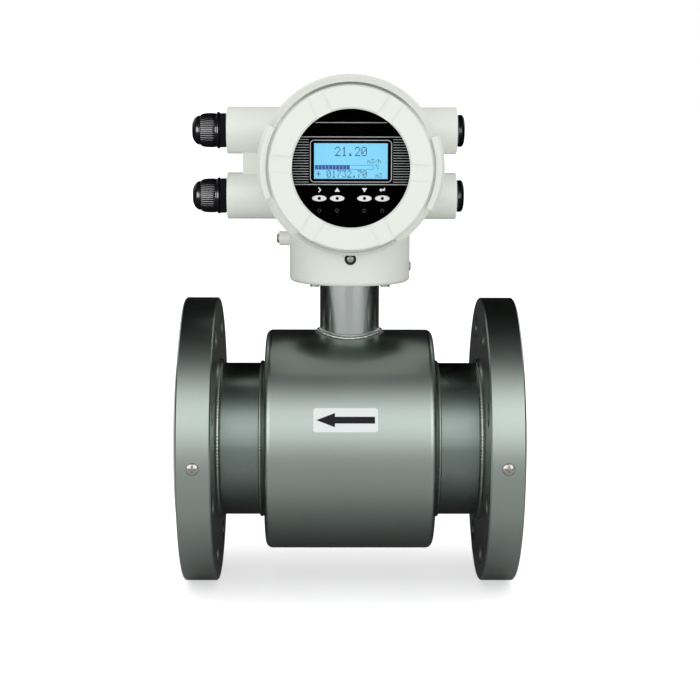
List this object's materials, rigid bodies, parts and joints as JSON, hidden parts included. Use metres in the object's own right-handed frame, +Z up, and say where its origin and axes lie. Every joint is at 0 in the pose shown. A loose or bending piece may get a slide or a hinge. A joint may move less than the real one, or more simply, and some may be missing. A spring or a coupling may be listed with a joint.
{
  "type": "electromagnetic flow meter",
  "caption": "Flanged electromagnetic flow meter: lined tube in a round coil housing, with a two-chamber display head on a neck.",
  "frame": {"origin": "centre of the lined bore, midway between the two sealing faces", "axes": "+X along the bore towards the inlet (the liquid flows towards -X), display faces -Y, +Z up the neck"},
  "size_m": [0.261, 0.223, 0.391],
  "materials": {
    "meter_paint": "dark grey metallic paint, satin",
    "liner": "smooth white fluoroplastic",
    "copper": "enamelled copper winding",
    "core_steel": "soft magnetic steel, oiled",
    "steel": "brushed stainless steel",
    "bright_steel": "bright zinc-plated steel",
    "insulation": "natural engineering plastic",
    "label": "white film label",
    "print": "black print",
    "rubber": "black rubber",
    "cable": "black cable sheath",
    "head_paint": "die-cast aluminium with warm off-white powder coat",
    "glass": "clear toughened glass",
    "panel": "black display overlay",
    "screen": "backlit blue display",
    "key": "pale key cap",
    "board": "green circuit board",
    "spacer": "brass spacer",
    "terminal": "green terminal plastic",
    "black_nylon": "black nylon"
  },
  "bodies": {
    "meter": {"measuring_tube": "meter_paint", "outlet_flange": "meter_paint", "inlet_flange": "meter_paint", "tube_liner": "liner", "flange_earth_screws": "bright_steel", "coil_housing": "meter_paint", "upper_coil": "copper", "lower_coil": "copper", "upper_pole_shoe": "core_steel", "lower_pole_shoe": "core_steel", "magnetic_yoke": "core_steel", "front_electrode": "steel", "rear_electrode": "steel", "electrode_bushes": "insulation", "electrode_nuts": "steel", "flow_arrow_label": "label", "flow_arrow_print": "print", "neck_stem": "steel", "neck_gasket": "rubber", "neck_screws": "bright_steel", "lead_grommet": "rubber", "sensor_lead": "cable", "converter_housing": "head_paint", "display_panel": "panel", "lcd_module": "screen", "display_board": "board", "main_board": "board", "panel_spacers": "spacer", "display_spacers": "spacer", "main_board_spacers": "spacer", "terminal_block": "terminal", "terminal_screws": "bright_steel", "cover_lock_screw": "bright_steel", "housing_side_screw": "bright_steel", "earth_terminal_screw": "bright_steel", "upper_gland_body": "black_nylon", "lower_gland_body": "black_nylon"},
    "front_cover_thread": {"front_cover_seal": "rubber"},
    "front_cover": {"front_cover": "head_paint", "window_gasket": "rubber", "window_glass": "glass", "glass_retaining_ring": "black_nylon"},
    "rear_cover_thread": {"rear_cover_seal": "rubber"},
    "rear_cover": {"rear_cover": "head_paint"},
    "upper_gland_thread": {"upper_gland_seal": "rubber"},
    "upper_gland_nut": {"upper_gland_nut": "black_nylon"},
    "lower_gland_thread": {"lower_gland_seal": "rubber"},
    "lower_gland_nut": {"lower_gland_nut": "black_nylon"},
    "upper_plug_thread": {"upper_plug_washer": "rubber"},
    "upper_plug": {"upper_plug": "black_nylon"},
    "lower_plug_thread": {"lower_plug_washer": "rubber"},
    "lower_plug": {"lower_plug": "black_nylon"},
    "key_next": {"key_next": "key"},
    "key_up": {"key_up": "key"},
    "key_down": {"key_down": "key"},
    "key_enter": {"key_enter": "key"}
  },
  "joints": [
    {"name": "front_cover_travel", "type": "slide", "parent": "meter", "child": "front_cover_thread", "axis": [0, -1, 0], "range_m": [0, 0.01]},
    {"name": "front_cover_turn", "type": "hinge", "parent": "front_cover_thread", "child": "front_cover", "pos_m": [0, -0.04, 0.2135], "axis": [0, -1, 0], "range_deg": [0, 1800]},
    {"name": "rear_cover_travel", "type": "slide", "parent": "meter", "child": "rear_cover_thread", "axis": [0, 1, 0], "range_m": [0, 0.01]},
    {"name": "rear_cover_turn", "type": "hinge", "parent": "rear_cover_thread", "child": "rear_cover", "pos_m": [0, 0.04, 0.2135], "axis": [0, 1, 0], "range_deg": [0, 1800]},
    {"name": "upper_gland_nut_travel", "type": "slide", "parent": "meter", "child": "upper_gland_thread", "axis": [-1, 0, 0], "range_m": [0, 0.0045]},
    {"name": "upper_gland_nut_turn", "type": "hinge", "parent": "upper_gland_thread", "child": "upper_gland_nut", "pos_m": [-0.1058, 0.008, 0.2384], "axis": [-1, 0, 0], "range_deg": [0, 1080]},
    {"name": "lower_gland_nut_travel", "type": "slide", "parent": "meter", "child": "lower_gland_thread", "axis": [-1, 0, 0], "range_m": [0, 0.0045]},
    {"name": "lower_gland_nut_turn", "type": "hinge", "parent": "lower_gland_thread", "child": "lower_gland_nut", "pos_m": [-0.1058, 0.008, 0.1886], "axis": [-1, 0, 0], "range_deg": [0, 1080]},
    {"name": "upper_plug_travel", "type": "slide", "parent": "meter", "child": "upper_plug_thread", "axis": [1, 0, 0], "range_m": [0, 0.0075]},
    {"name": "upper_plug_turn", "type": "hinge", "parent": "upper_plug_thread", "child": "upper_plug", "pos_m": [0.0815, 0.008, 0.2384], "axis": [1, 0, 0], "range_deg": [0, 1800]},
    {"name": "lower_plug_travel", "type": "slide", "parent": "meter", "child": "lower_plug_thread", "axis": [1, 0, 0], "range_m": [0, 0.0075]},
    {"name": "lower_plug_turn", "type": "hinge", "parent": "lower_plug_thread", "child": "lower_plug", "pos_m": [0.0815, 0.008, 0.1886], "axis": [1, 0, 0], "range_deg": [0, 1800]},
    {"name": "key_next_press", "type": "slide", "parent": "meter", "child": "key_next", "axis": [0, 1, 0], "range_m": [0, 0.0005], "stiffness_N_per_m": 400, "springref_m": -0.0005},
    {"name": "key_up_press", "type": "slide", "parent": "meter", "child": "key_up", "axis": [0, 1, 0], "range_m": [0, 0.0005], "stiffness_N_per_m": 400, "springref_m": -0.0005},
    {"name": "key_down_press", "type": "slide", "parent": "meter", "child": "key_down", "axis": [0, 1, 0], "range_m": [0, 0.0005], "stiffness_N_per_m": 400, "springref_m": -0.0005},
    {"name": "key_enter_press", "type": "slide", "parent": "meter", "child": "key_enter", "axis": [0, 1, 0], "range_m": [0, 0.0005], "stiffness_N_per_m": 400, "springref_m": -0.0005}
  ],
  "couplings": [
    {"joint": "front_cover_travel", "follows": "front_cover_turn", "m_per_rad": 0.0003183},
    {"joint": "rear_cover_travel", "follows": "rear_cover_turn", "m_per_rad": 0.0003183},
    {"joint": "upper_gland_nut_travel", "follows": "upper_gland_nut_turn", "m_per_rad": 0.00023873},
    {"joint": "lower_gland_nut_travel", "follows": "lower_gland_nut_turn", "m_per_rad": 0.00023873},
    {"joint": "upper_plug_travel", "follows": "upper_plug_turn", "m_per_rad": 0.00023873},
    {"joint": "lower_plug_travel", "follows": "lower_plug_turn", "m_per_rad": 0.00023873}
  ]
}
